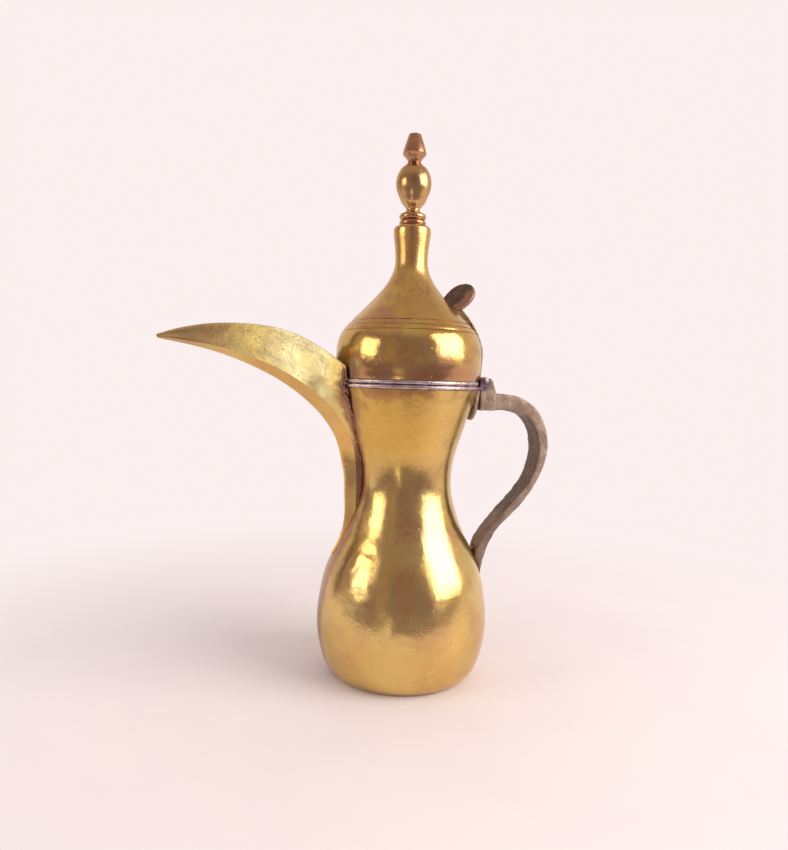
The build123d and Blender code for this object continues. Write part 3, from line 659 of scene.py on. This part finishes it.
def pour_prism():
    """Prism through the neck wall behind the spout."""
    right = [(half * MM, height * MM) for height, half in POUR_OPENING]
    loop = right + [(-y, z) for y, z in reversed(right)]
    points = [(-60 * MM, y, z) for y, z in loop] + [(0.0, y, z) for y, z in loop]
    count = len(loop)
    faces = [tuple(range(count)), tuple(reversed(range(count, 2 * count)))]
    for index in range(count):
        beside = (index + 1) % count
        faces.append((index, index + count, beside + count, beside))
    return plain_object("pour_prism", points, faces)


GROOVES = [184.2 * MM, 186.8 * MM, 189.4 * MM]
GROOVE_DEPTH = 0.20 * MM
GROOVE_SPREAD = 0.62 * MM
BEAD_RISE = 1.2 * MM            # small swell above each groove
BEAD_HEIGHT = 0.09 * MM
BEAD_SPREAD = 0.55 * MM


def swell(height, centre, spread):
    """1 at the centre, dying away over the spread."""
    reach = (height - centre) / spread
    return math.exp(-reach * reach)


def make_dome():
    """Lid with three turned grooves under the chimney."""
    outer = along(DOME_OUT, GROOVE_STEP)
    inner = along(DOME_IN, INNER_STEP)[::-1]
    relief = sheet_push(LID_FOOT_Z, CHIMNEY_TOP_Z, 4 * MM, 14 * MM, 3.0, 0.20 * MM, 0.07 * MM)

    def push(place, row):
        away = relief(place, row)
        if row < len(outer):
            for groove in GROOVES:
                away -= GROOVE_DEPTH * swell(place[2], groove, GROOVE_SPREAD)
                away += BEAD_HEIGHT * swell(place[2], groove + BEAD_RISE, BEAD_SPREAD)
        return away
    points, faces = turned_mesh(np.vstack([outer, inner]), 240, push)
    piece("lid_sheet", points, faces, MATERIALS["lid_brass"], "lid", ["lid_dome"])


def make_ring(node, name, body, seed):
    """Soldered wire ring, its belly a little uneven."""
    low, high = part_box(node)
    bottom = low[2]
    top = high[2]
    belly = 0.5 * (top - bottom)
    outer = high[0] - belly
    arc_rows = 13
    angles = np.linspace(-0.5 * math.pi, 0.5 * math.pi, arc_rows)
    arc = np.column_stack([outer + belly * np.cos(angles), bottom + belly + belly * np.sin(angles)])
    loop = np.vstack([arc, [[RING_IN_R, top], [RING_IN_R, bottom]]])

    def push(place, row):
        if not 0 < row < arc_rows - 1:
            return 0.0
        wobble = 0.5 * lumps(place, 6 * MM, seed) + 0.5 * lumps(place, 2.6 * MM, seed + 1)
        return 0.10 * MM * (wobble - 0.5)
    points, faces = turned_mesh(loop, 300, push)
    piece(name, points, faces, MATERIALS["rim_tin"], body, [node])


# ---- spout ---------------------------
# Sections from the tip to below the waist, in millimetres: keel x, keel z, top x, top z,
# share of the way up to the crease, half width there, half width on top.
SPOUT = np.array([
    [-129.2, 176.3, -129.7, 178.0, 0.40, 0.8, 1.0],
    [-117.0, 174.1, -119.0, 181.0, 0.24, 3.6, 5.2],
    [-102.0, 170.7, -104.0, 183.7, 0.21, 5.65, 8.8],
    [-86.0, 165.2, -86.5, 184.3, 0.21, 7.1, 11.8],
    [-71.0, 158.2, -67.0, 181.9, 0.215, 8.2, 13.9],
    [-59.0, 150.5, -49.5, 174.2, 0.225, 8.75, 15.4],
    [-50.0, 142.8, -33.0, 163.0, 0.24, 8.7, 16.4],
    [-43.5, 135.3, -23.0, 154.0, 0.24, 8.35, 16.8],
    [-38.6, 127.0, -16.0, 140.0, 0.27, 6.4, 11.0],
    [-35.8, 117.5, -12.0, 124.0, 0.30, 4.6, 6.5],
    [-33.8, 107.0, -11.0, 109.0, 0.28, 4.0, 5.0],
    [-33.1, 95.0, -11.0, 95.0, 0.26, 3.9, 4.8],
    [-33.0, 84.0, -12.0, 81.0, 0.25, 3.7, 4.6],
    [-35.2, 74.0, -16.0, 68.0, 0.22, 3.2, 4.2],
    [-39.5, 65.0, -22.0, 58.0, 0.20, 2.4, 3.6],
])
SPOUT_ROWS = 190
CHEEK_CROWN = 0.30 * MM         # outward bulge of the cheeks
CHEEK_STEPS = 14
CHEEK_STEPS_IN = 9
LIP_STEPS = 4
KEEL_STEPS = 18
KEEL_SOFTNESS = 0.10


class Section:
    """One section of the spout: places are given by distance up the section and half width."""

    def __init__(self, values):
        lengths = values * MM
        self.keel = Vector((lengths[0], 0.0, lengths[1]))
        top = Vector((lengths[2], 0.0, lengths[3]))
        self.length = (top - self.keel).length
        self.up = (top - self.keel) / self.length
        self.rise = values[4] * self.length
        self.crease_half = lengths[5]
        self.top_half = lengths[6]
        self.sheet = min(SPOUT_SHEET, 0.45 * self.crease_half)
        facet = math.hypot(self.rise, self.crease_half)
        cheek = math.hypot(self.length - self.rise, self.top_half - self.crease_half)
        self.keel_in = self.sheet * facet / self.crease_half
        slope = (self.top_half - self.crease_half) / (self.length - self.rise)
        facet_slope = self.rise / self.crease_half
        shift = self.sheet * cheek / (self.length - self.rise)
        start = self.crease_half - slope * self.rise - shift
        self.half_in = (start + slope * self.keel_in) / (1.0 - slope * facet_slope)
        self.rise_in = self.keel_in + facet_slope * self.half_in
        self.top_in = start + slope * self.length

    def at(self, distance, half):
        return self.keel + self.up * distance + Vector((0.0, half, 0.0))


def spout_sections():
    places = np.linspace(0.0, 1.0, SPOUT_ROWS) ** 1.15
    rows = spline_through(SPOUT, places)
    sections = []
    for row in rows:
        wavy = 0.18 * lumps((row[0] * MM, 0.0, row[1] * MM), 16 * MM, 8)
        row[5] += wavy * min(row[5] / 6.0, 1.0)
        sections.append(Section(row))
    return sections


def spout_relief(place, share, seed):
    """Beaten relief of a spout sheet, none along its edges."""
    edge = float(smooth_step(share, 0.0, 0.16) * (1.0 - smooth_step(share, 0.9, 1.0)))
    return edge * beaten(place, 0.30 * MM, 0.07 * MM, seed)


def cheek_place(section, side, seed, share, foot, foot_half, top_half):
    """Place on one face of a cheek, a share of the way from its foot to the lip."""
    distance = foot + share * (section.length - foot)
    half = foot_half + share * (top_half - foot_half)
    place = section.at(distance, side * half)
    crown = CHEEK_CROWN * math.sin(math.pi * share) * min(section.crease_half / (8 * MM), 1.0)
    away = crown + spout_relief(place, share, seed)
    return place + Vector((0.0, side * away, 0.0))


def cheek_loop(section, side, seed):
    """Closed section of one cheek: up the outside, over the lip, down the inside."""
    loop = []
    for index in range(CHEEK_STEPS + 1):
        share = index / CHEEK_STEPS
        loop.append(cheek_place(section, side, seed, share, section.rise, section.crease_half,
                                section.top_half))
    middle = 0.5 * (section.top_half + section.top_in)
    reach = 0.5 * (section.top_half - section.top_in)
    for index in range(1, LIP_STEPS):
        angle = math.pi * index / LIP_STEPS
        half = middle + reach * math.cos(angle)
        loop.append(section.at(section.length + 0.45 * reach * math.sin(angle), side * half))
    for index in range(CHEEK_STEPS_IN + 1):
        share = 1.0 - index / CHEEK_STEPS_IN
        loop.append(cheek_place(section, side, seed, share, section.rise_in, section.half_in,
                                section.top_in))
    return loop


def fold(turn):
    """How far up the folded underside reaches: 0 at the keel, 1 at the creases, rounded between."""
    soft = KEEL_SOFTNESS
    return (math.sqrt(turn * turn + soft * soft) - soft) / (math.sqrt(1 + soft * soft) - soft)


def keel_loop(section):
    """Closed section of the folded underside, outer face first."""
    loop = []
    for index in range(KEEL_STEPS + 1):
        turn = 2.0 * index / KEEL_STEPS - 1.0
        place = section.at(section.rise * fold(turn), -section.crease_half * turn)
        fade = 1.0 - float(smooth_step(abs(turn), 0.8, 1.0))
        place -= section.up * fade * beaten(place, 0.22 * MM, 0.05 * MM, 6.0)
        loop.append(place)
    for index in range(KEEL_STEPS + 1):
        turn = 1.0 - 2.0 * index / KEEL_STEPS
        distance = section.keel_in + (section.rise_in - section.keel_in) * fold(turn)
        loop.append(section.at(distance, -section.half_in * turn))
    return loop


def closed_solid(name, points, rows, columns):
    """Closed loops, one in each row, with a face across the first and the last."""
    faces = grid_faces(rows, columns, False, True)
    faces.append(tuple(reversed(range(columns))))
    last = (rows - 1) * columns
    faces.append(tuple(range(last, last + columns)))
    obj = plain_object(name, points, faces)
    fix_normals(obj.data)
    return obj


def swept(name, loops):
    """Closed solid through closed loops of the same number of points."""
    points = [place for loop in loops for place in loop]
    return closed_solid(name, points, len(loops), len(loops[0]))


def fix_normals(mesh):
    bm = bmesh.new()
    bm.from_mesh(mesh)
    bmesh.ops.recalc_face_normals(bm, faces=bm.faces)
    bm.to_mesh(mesh)
    bm.free()


CORE_AXIS_R = 0.002 * MM        # loops near the axis can't shrink to a point
CORE_BOTTOM_Z = -5 * MM
CORE_DOME_TOP_Z = 205 * MM      # above the spout and the solder
CORE_TOP_Z = 210 * MM


def pot_core():
    """Space of the pot and of the lid with its play, which the spout's sheets keep out of."""
    inset = 0.5 * SHEET
    pot = np.vstack([along(BOWL_OUT, 3 * MM), along(NECK_OUT, 3 * MM)[1:]])
    pot[:, 0] -= inset
    dome = along(DOME_OUT, 3 * MM)
    dome = dome[dome[:, 1] < CORE_DOME_TOP_Z]
    dome[:, 0] += LID_CLEAR
    ring = np.array([[RING_R, NECK_TOP_Z], [RING_R, PARTING_Z - 0.1 * MM],
                     [RING_R + LID_CLEAR, PARTING_Z - 0.1 * MM], [RING_R + LID_CLEAR, LID_FOOT_Z]])
    loop = np.vstack([[[CORE_AXIS_R, CORE_BOTTOM_Z]], pot, ring, dome, [[CORE_AXIS_R, CORE_TOP_Z]]])
    segments = 160
    return closed_solid("pot_core", turned_points(loop, segments), len(loop), segments)


def make_spout(sections):
    for side, name, node in ((1, "spout_left_sheet", "spout_cheek_left"),
                             (-1, "spout_right_sheet", "spout_cheek_right")):
        cheek = swept(name, [cheek_loop(section, side, 4.0 + side) for section in sections])
        cut(cheek, pot_core())
        finish_piece(cheek, MATERIALS["spout_brass"], "pot", [node], 50.0)
    keel = swept("spout_underside", [keel_loop(section) for section in sections])
    cut(keel, pot_core())
    finish_piece(keel, MATERIALS["keel_brass"], "pot", ["spout_keel"], 50.0)


def pot_radius(height):
    """Outer radius of bowl, neck, ring or dome at a height."""
    if height < WAIST_Z:
        outline = BOWL_OUT
    elif height < NECK_TOP_Z:
        outline = NECK_OUT
    elif height < LID_FOOT_Z:
        return RING_R
    else:
        outline = DOME_OUT
    return float(np.interp(height, outline[:, 1], outline[:, 0]))


def solder_wall(height):
    """The pot's radius, run smoothly from the neck up to the ring's edge and the dome."""
    spread = 4.5 * MM
    nearby = [pot_radius(height + spread * step) for step in (-1, 0, 1)]
    return max(sum(nearby) / 3.0, pot_radius(height) if height > NECK_TOP_Z else 0.0)


SOLDER_HEIGHTS = [62 * MM, 118 * MM, 138 * MM, 150 * MM, 164 * MM, 172 * MM]
SOLDER_SIZES = [0.5 * MM, 0.9 * MM, 1.4 * MM, 1.9 * MM, 1.3 * MM, 0.6 * MM]


def solder_size(height):
    return float(np.interp(height, SOLDER_HEIGHTS, SOLDER_SIZES))


def seam_line(sections, side):
    """Where a cheek's outer face meets the pot, or comes near the lid above the pot's ring."""
    line = []
    for section in sections:
        last = None
        for share in np.linspace(0.0, 1.0, 60):
            distance = section.rise + share * (section.length - section.rise)
            half = section.crease_half + share * (section.top_half - section.crease_half)
            place = section.at(distance, side * half)
            beside_lid = float(smooth_step(place.z, 138 * MM, 156 * MM))
            room = beside_lid * (0.75 * solder_size(place.z) + LID_CLEAR)
            stands_off = math.hypot(place.x, place.y) - solder_wall(place.z) - room
            if last is not None and last > 0.0 >= stands_off:
                if SOLDER_HEIGHTS[0] < place.z < SOLDER_HEIGHTS[-1]:
                    line.append(place)
                break
            last = stands_off
    return line


def make_solder(sections):
    """Run of solder along each cheek's joint with the pot, thick beside the mouth."""
    around = 12
    for side, name in ((1, "solder_seam_left"), (-1, "solder_seam_right")):
        line = seam_line(sections, side)
        steps = np.linspace(0.0, 1.0, 3 * len(line))
        path = spline_through([(p.x, p.z, p.y) for p in line], steps)
        places = [Vector((x, y, z)) for x, z, y in path]
        last = len(places) - 1
        loops = []
        for index, place in enumerate(places):
            ahead = (places[min(index + 1, last)] - places[max(index - 1, 0)]).normalized()
            out = Vector((place.x, place.y, 0.0)).normalized()
            across = ahead.cross(out).normalized()
            out = across.cross(ahead)
            uneven = 1.0 + 0.35 * lumps(place, 6 * MM, 41.0 + side) + 0.25 * lumps(place, 2 * MM, 43.0)
            ends = min(index, last - index) / 6.0
            size = solder_size(place.z) * uneven * min(0.25 + ends, 1.0)
            loop = []
            for step in range(around):
                angle = 2.0 * math.pi * step / around
                loop.append(place + size * (out * 0.5 * math.sin(angle) + across * math.cos(angle)))
            loops.append(loop)
        finish_piece(swept(name, loops), MATERIALS["solder"], "pot", (), 60.0)


# ---- forged parts --------------------
# CAD node: piece, material, body, voxel, relief, width of lumps, seed, smoothing passes
FORGED = {
    "handle_strap": ("handle_bar", "handle_brass", "pot", 0.75 * MM, 0.28 * MM, 5.0 * MM, 11, 4),
    "hinge_block": ("hinge_body", "handle_brass", "pot", 0.42 * MM, 0.16 * MM, 3.0 * MM, 12, 3),
    "handle_tongue": ("tongue_leaf", "handle_brass", "pot", 0.36 * MM, 0.10 * MM, 3.0 * MM, 13, 2),
    "hinge_lugs": ("hinge_ears", "hinge_metal", "pot", 0.34 * MM, 0.08 * MM, 2.2 * MM, 14, 2),
    "lid_strap": ("lid_strap_bar", "strap_metal", "lid", 0.38 * MM, 0.08 * MM, 4.0 * MM, 15, 2),
    "thumb_plate": ("thumb_rest", "thumb_metal", "lid", 0.40 * MM, 0.16 * MM, 5.0 * MM, 16, 2),
}
HANDLE_BUTT_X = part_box("hinge_block")[1][0]
HANDLE_OVERLAP = 1.6 * MM       # how far the handle's end is carried on into the block


def forged_mesh(node):
    """A copy of the CAD node's mesh; the handle's is carried on a little way into its block."""
    mesh = NODES[node].data.copy()
    if node == "handle_strap":
        for vertex in mesh.vertices:
            if abs(vertex.co.x - HANDLE_BUTT_X) < 0.02 * MM:
                vertex.co.x -= HANDLE_OVERLAP
    return mesh


def make_forged(node, name, material, body, voxel, relief, size, seed, smoothing):
    """The CAD node with softened edges and a lumpy surface."""
    obj = placed(name, forged_mesh(node))
    remesh = obj.modifiers.new("remesh", "REMESH")
    remesh.mode = "VOXEL"
    remesh.voxel_size = voxel
    bake_modifiers(obj)
    bm = bmesh.new()
    bm.from_mesh(obj.data)
    for _ in range(smoothing):
        bmesh.ops.smooth_vert(bm, verts=bm.verts, factor=0.5,
                              use_axis_x=True, use_axis_y=True, use_axis_z=True)
    bm.normal_update()
    for vertex in bm.verts:
        place = vertex.co.copy()
        rough = lumps(place, size, seed) + 0.5 * lumps(place, 0.45 * size, seed + 1)
        vertex.co = place + vertex.normal * relief * (rough - 0.3)
    bm.to_mesh(obj.data)
    bm.free()
    finish_piece(obj, MATERIALS[material], body, [node], 60.0)


CARRIED = {
    "pot_brass": ["base_plate"], "lid_brass": ["chimney_cap"], "turned_brass": ["finial_collar", "finial"],
    "handle_brass": ["handle_saddle"], "hinge_metal": ["hinge_pin"], "rim_tin": ["lid_collar"],
    "rivet_brass": ["handle_studs", "foot_rivets", "foot_rivet_burrs", "strap_rivets", "finial_stem",
                    "stem_washer"],
}


def dress_carried():
    """CAD nodes whose shape stays get their materials."""
    for material, nodes in CARRIED.items():
        for node in nodes:
            mesh = NODES[node].data
            mesh.materials.clear()
            mesh.materials.append(MATERIALS[material])


# ---- room ----------------------------
CAMERA_DISTANCE = 372.6 * MM
CAMERA_HEIGHT = 157.0 * MM
CAMERA_AZIMUTH = math.radians(-12.0)
YAW = math.radians(1.05)
PITCH = math.radians(3.48)
ROLL = math.radians(1.64)
LENS = 29.2
LIGHT_AIM = Vector((0.0, 0.0, 0.11))
FLOOR_HALF = 4.0


def view_direction(turn, lift):
    """Direction from the pot: turn degrees to the right of the camera, lift degrees up."""
    angle = CAMERA_AZIMUTH + math.radians(turn)
    rise = math.radians(lift)
    flat = Vector((math.sin(angle), -math.cos(angle), 0.0))
    return flat * math.cos(rise) + Vector((0.0, 0.0, math.sin(rise)))


def make_camera():
    data = bpy.data.cameras.new("camera")
    data.lens = LENS
    data.sensor_width = 36.0
    data.sensor_fit = "AUTO"
    data.clip_start = 0.01
    camera = placed("camera", data)
    place = view_direction(0.0, 0.0) * CAMERA_DISTANCE
    place.z = CAMERA_HEIGHT
    turn = Matrix.Rotation(CAMERA_AZIMUTH + YAW, 4, "Z")
    tilt = Matrix.Rotation(0.5 * math.pi - PITCH, 4, "X")
    lean = Matrix.Rotation(ROLL, 4, "Z")
    camera.matrix_world = Matrix.Translation(place) @ turn @ tilt @ lean
    bpy.context.scene.camera = camera


def window(name, turn, lift, distance, width, height, power, tint):
    """Soft rectangular light that faces the pot and that the camera doesn't see."""
    data = bpy.data.lights.new(name, "AREA")
    data.shape = "RECTANGLE"
    data.size = width
    data.size_y = height
    data.energy = power
    data.color = tint
    light = placed(name, data)
    away = view_direction(turn, lift)
    light.location = LIGHT_AIM + away * distance
    light.rotation_euler = (-away).to_track_quat("-Z", "Y").to_euler()
    light.visible_camera = False


PAPER = (0.97, 0.865, 0.865)       # pale backdrop, as the eye sees it


def make_floor():
    """Pale table that fades into the backdrop with distance."""
    s = Shader("floor")
    tint = s.blend(s.patchy(9.0, 0.3, 0.7), (0.86, 0.78, 0.78), (0.82, 0.75, 0.76))
    s.set(Base_Color=tint, Roughness=0.6)
    far = s.node("ShaderNodeVectorMath", {0: s.place}, "Value", operation="LENGTH")
    paper = s.node("ShaderNodeEmission", {"Color": PAPER, "Strength": 1.0})
    fade = s.between(far, 0.09, 0.42)
    s.show(s.node("ShaderNodeMixShader", {0: fade, 1: s.surface.outputs[0], 2: paper}))
    corners = [(a * FLOOR_HALF, b * FLOOR_HALF, 0) for a, b in ((-1, -1), (1, -1), (1, 1), (-1, 1))]
    floor = plain_object("floor", corners, [(0, 1, 2, 3)])
    floor.data.materials.append(s.material)


def glossy_card(name, corners, tint):
    """Flat part of the room that only polished metal sees; corners are (side, ahead, height)."""
    s = Shader(name)
    s.show(s.node("ShaderNodeEmission", {"Color": tint, "Strength": 1.0}))
    side, ahead, up = view_direction(90.0, 0.0), view_direction(0.0, 0.0), Vector((0.0, 0.0, 1.0))
    points = [side * a + ahead * b + up * height for a, b, height in corners]
    card = plain_object(name, points, [tuple(range(len(corners)))])
    card.data.materials.append(s.material)
    card.visible_camera = False
    card.visible_diffuse = False
    card.visible_shadow = False


def floor_card(name, left, right, near, far, height, tint):
    """Level patch of the room's floor."""
    ends = ((left, near), (right, near), (right, far), (left, far))
    glossy_card(name, [(*end, height) for end in ends], tint)


def wall_card(name, turn, width, distance, top, tint):
    """Upright strip of the room at a turn from the camera's side."""
    angle = math.radians(turn)
    middle = (distance * math.sin(angle), distance * math.cos(angle))
    along_side = 0.5 * width * math.cos(angle)
    along_ahead = -0.5 * width * math.sin(angle)
    low = (middle[0] - along_side, middle[1] - along_ahead)
    high = (middle[0] + along_side, middle[1] + along_ahead)
    foot = 2 * MM
    glossy_card(name, [(*low, foot), (*high, foot), (*high, top), (*low, top)], tint)


def make_cards():
    """Room in front of the table: floor, two sunlit patches, a figure, a door's edge and a post."""
    floor_card("room_floor", -3.0, 3.0, 0.235, 3.0, 0.5 * MM, (0.29, 0.235, 0.30))
    floor_card("pale_patch", -0.150, -0.119, 0.26, 0.56, 1.0 * MM, (0.95, 0.86, 0.74))
    floor_card("sunny_patch", -0.119, -0.076, 0.27, 0.46, 1.0 * MM, (2.6, 2.4, 2.0))
    wall_card("figure", 2.0, 0.42, 1.2, 0.9, (0.31, 0.20, 0.23))
    wall_card("door_edge", -27.0, 0.36, 1.2, 0.9, (0.42, 0.325, 0.26))
    wall_card("post", -101.0, 0.20, 1.0, 0.9, (0.20, 0.13, 0.10))


# Room round the pot, from in front of it (0) to behind it (1).
WALL_TINTS = {0.0: (0.27, 0.215, 0.29), 0.3: (0.30, 0.235, 0.28), 0.5: (0.46, 0.37, 0.34),
              0.68: (0.78, 0.68, 0.64), 1.0: (0.86, 0.76, 0.74)}
CEILING = (0.55, 0.48, 0.44)
HAZE = (0.74, 0.68, 0.67)


def make_world():
    """Pale backdrop for the eye, soft even light for rough surfaces.

    Polished metal sees a pale wall behind and a brown room in front.
    """
    world = bpy.data.worlds.new("room")
    bpy.context.scene.world = world
    world.use_nodes = True
    world.node_tree.nodes.clear()
    n = Nodes(world.node_tree, "Generated")
    out = n.tree.nodes.new("ShaderNodeOutputWorld")
    behind = n.node("ShaderNodeVectorMath", {0: n.place, 1: -view_direction(0.0, 0.0)}, "Value",
                    operation="DOT_PRODUCT")
    ramp = n.tree.nodes.new("ShaderNodeValToRGB")
    ramp.color_ramp.interpolation = "EASE"
    n.feed(ramp.inputs[0], n.node("ShaderNodeMath", {0: behind, 1: 0.5, 2: 0.5}, operation="MULTIPLY_ADD"))
    elements = ramp.color_ramp.elements
    for position in list(WALL_TINTS)[1:-1]:
        elements.new(position)
    for element, tint in zip(elements, WALL_TINTS.values()):
        element.color = (*tint, 1.0)
    around = n.blend(n.between(n.coordinate(2), 0.45, 0.9), ramp.outputs["Color"], CEILING)
    room, paper, haze = [n.node("ShaderNodeBackground", {"Color": tint}) for tint in (around, PAPER, HAZE)]
    diffuse = n.node("ShaderNodeLightPath", {}, "Is Diffuse Ray")
    soft = n.node("ShaderNodeMixShader", {0: diffuse, 1: room, 2: haze})
    camera = n.node("ShaderNodeLightPath", {}, "Is Camera Ray")
    n.feed(out.inputs["Surface"], n.node("ShaderNodeMixShader", {0: camera, 1: soft, 2: paper}))


def make_room():
    make_floor()
    make_cards()
    make_world()
    window("window_right", 70.0, 25.0, 1.1, 0.92, 0.8, 11.5, (1.0, 0.965, 0.93))
    window("window_left", -64.0, 16.0, 1.1, 0.5, 0.45, 2.4, (1.0, 0.95, 0.84))
    settings = bpy.context.scene.view_settings
    settings.view_transform = "Standard"
    settings.look = "None"


make_camera()
make_room()
make_bowl()
make_neck()
make_dome()
make_ring("pot_rim_ring", "mouth_ring", "pot", 21)
make_ring("lid_rim_ring", "lid_ring", "lid", 23)
spout = spout_sections()
make_spout(spout)
make_solder(spout)
for cad_node, row in FORGED.items():
    make_forged(cad_node, *row)
dress_carried()
